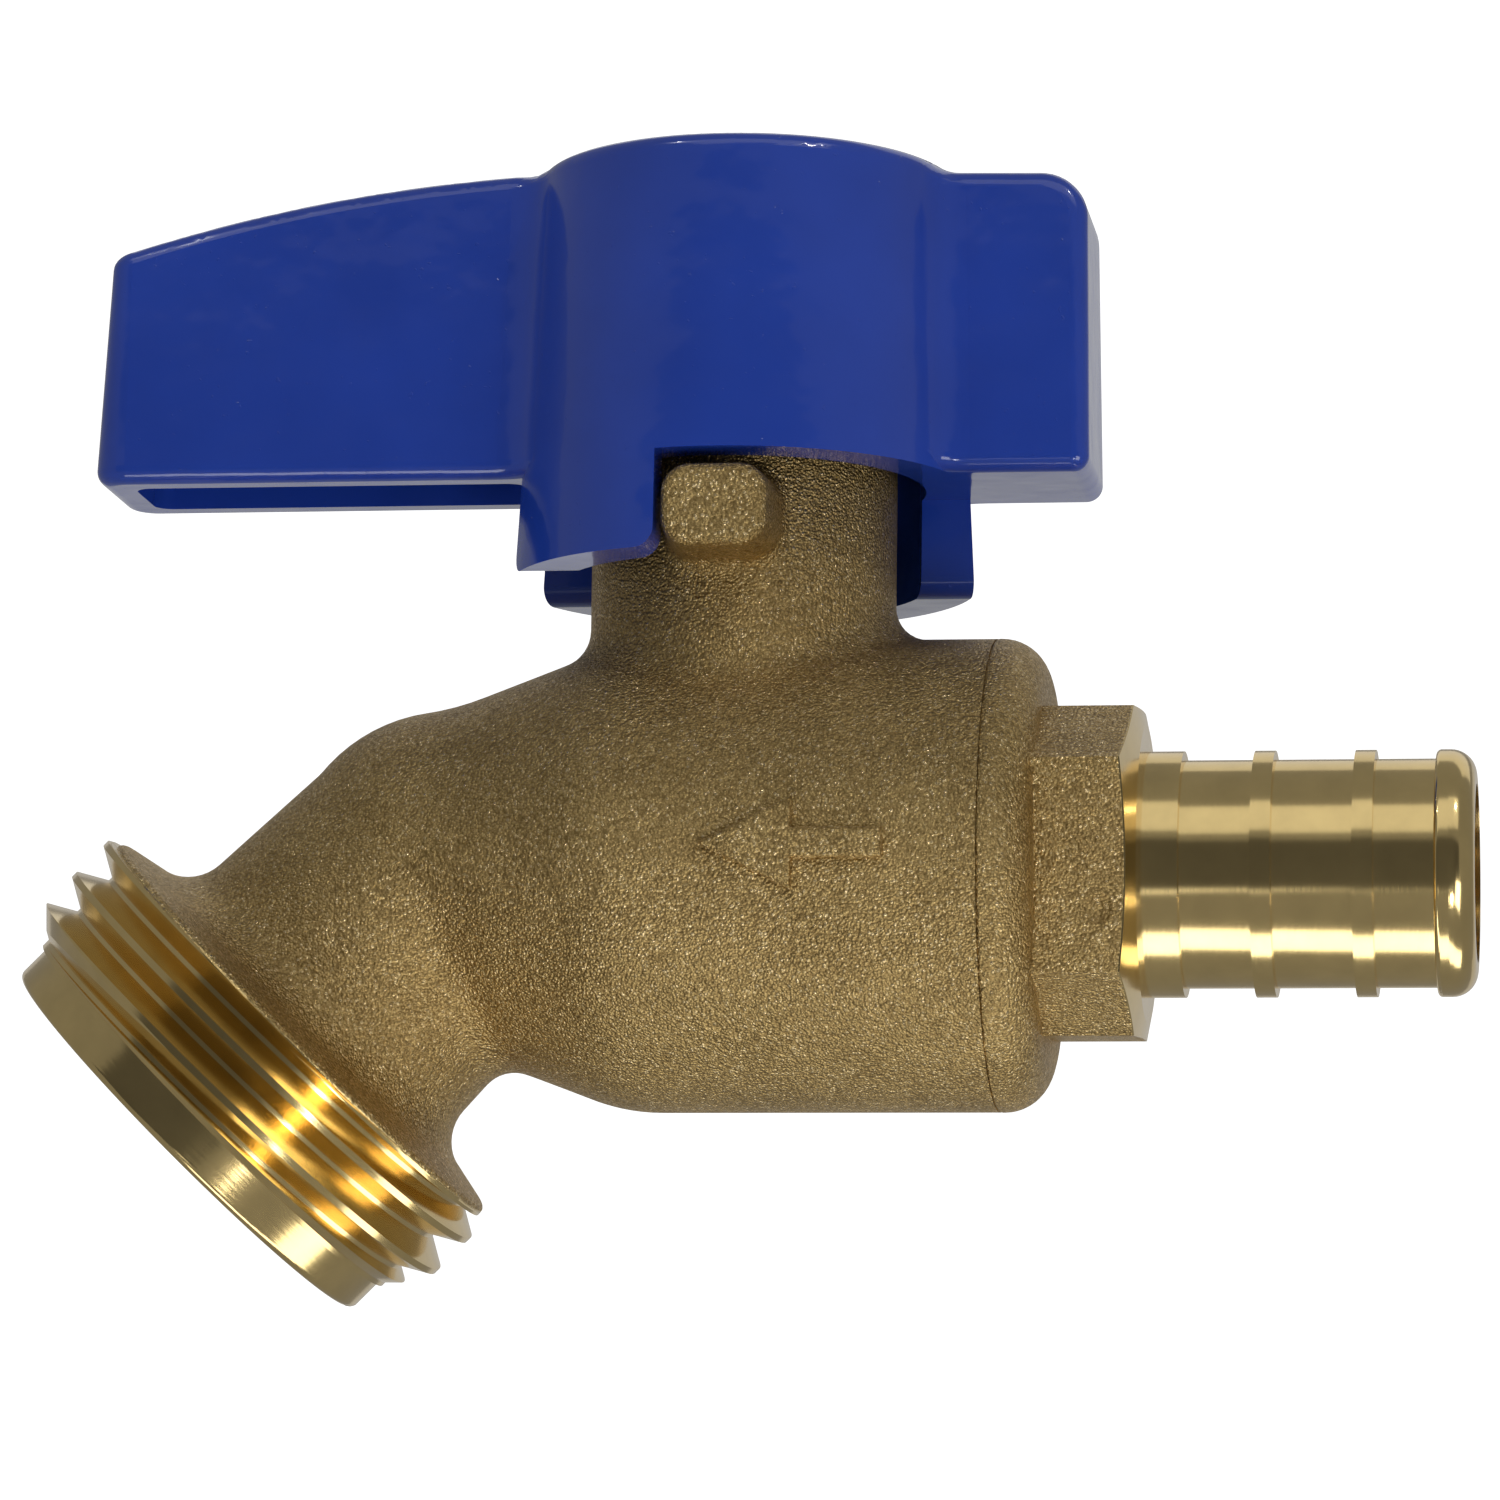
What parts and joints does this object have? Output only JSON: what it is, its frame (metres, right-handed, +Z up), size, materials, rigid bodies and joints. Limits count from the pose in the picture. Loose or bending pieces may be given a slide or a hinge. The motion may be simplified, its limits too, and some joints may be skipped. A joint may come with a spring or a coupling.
{
  "type": "hose bib",
  "caption": "Quarter-turn ball valve hose bib: barbed pipe inlet, 45 degree male hose thread outlet and a lever handle that a stop lug limits.",
  "frame": {"origin": "on the inlet's axis at the pipe stop, where the barb leaves the hexagon's face", "axes": "+X along the inlet's axis, out of the pipe barb's end; +Z up along the stem; the outlet points down and towards -X in the XZ plane"},
  "size_m": [0.0726, 0.0268, 0.057],
  "materials": {
    "cast_brass": "rough blasted casting, machined bright on the hose thread",
    "tail_brass": "rough casting on collar and hexagon, turned bright on the barb",
    "turned_brass": "turned",
    "plated_ball": "polished plating",
    "seat_plastic": "white, waxy",
    "packing_plastic": "white, waxy",
    "seal_rubber": "black moulded rubber",
    "handle_paint": "glossy blue enamel on a die casting",
    "zinc_steel": "zinc plated"
  },
  "bodies": {
    "valve": {"body": "cast_brass", "tailpiece": "tail_brass", "body_seal": "seal_rubber", "inlet_seat": "seat_plastic", "outlet_seat": "seat_plastic", "lower_packing_ring": "packing_plastic", "middle_packing_ring": "packing_plastic", "upper_packing_ring": "packing_plastic", "gland_ring": "turned_brass", "gland_nut": "turned_brass"},
    "lever": {"handle": "handle_paint", "stem": "turned_brass", "thrust_washer": "seat_plastic", "stem_seal": "seal_rubber", "handle_washer": "zinc_steel", "lock_washer": "zinc_steel", "handle_screw": "zinc_steel"},
    "ball": {"ball": "plated_ball"}
  },
  "joints": [
    {"name": "handle_turn", "type": "hinge", "parent": "valve", "child": "lever", "pos_m": [-0.02035, 0, 0.0248], "axis": [0, 0, -1], "range_deg": [0, 90]},
    {"name": "ball_turn", "type": "hinge", "parent": "valve", "child": "ball", "pos_m": [-0.02035, 0, 0], "axis": [0, 0, -1], "range_deg": [0, 90]}
  ],
  "couplings": [
    {"joint": "ball_turn", "follows": "handle_turn", "ratio": 1}
  ]
}
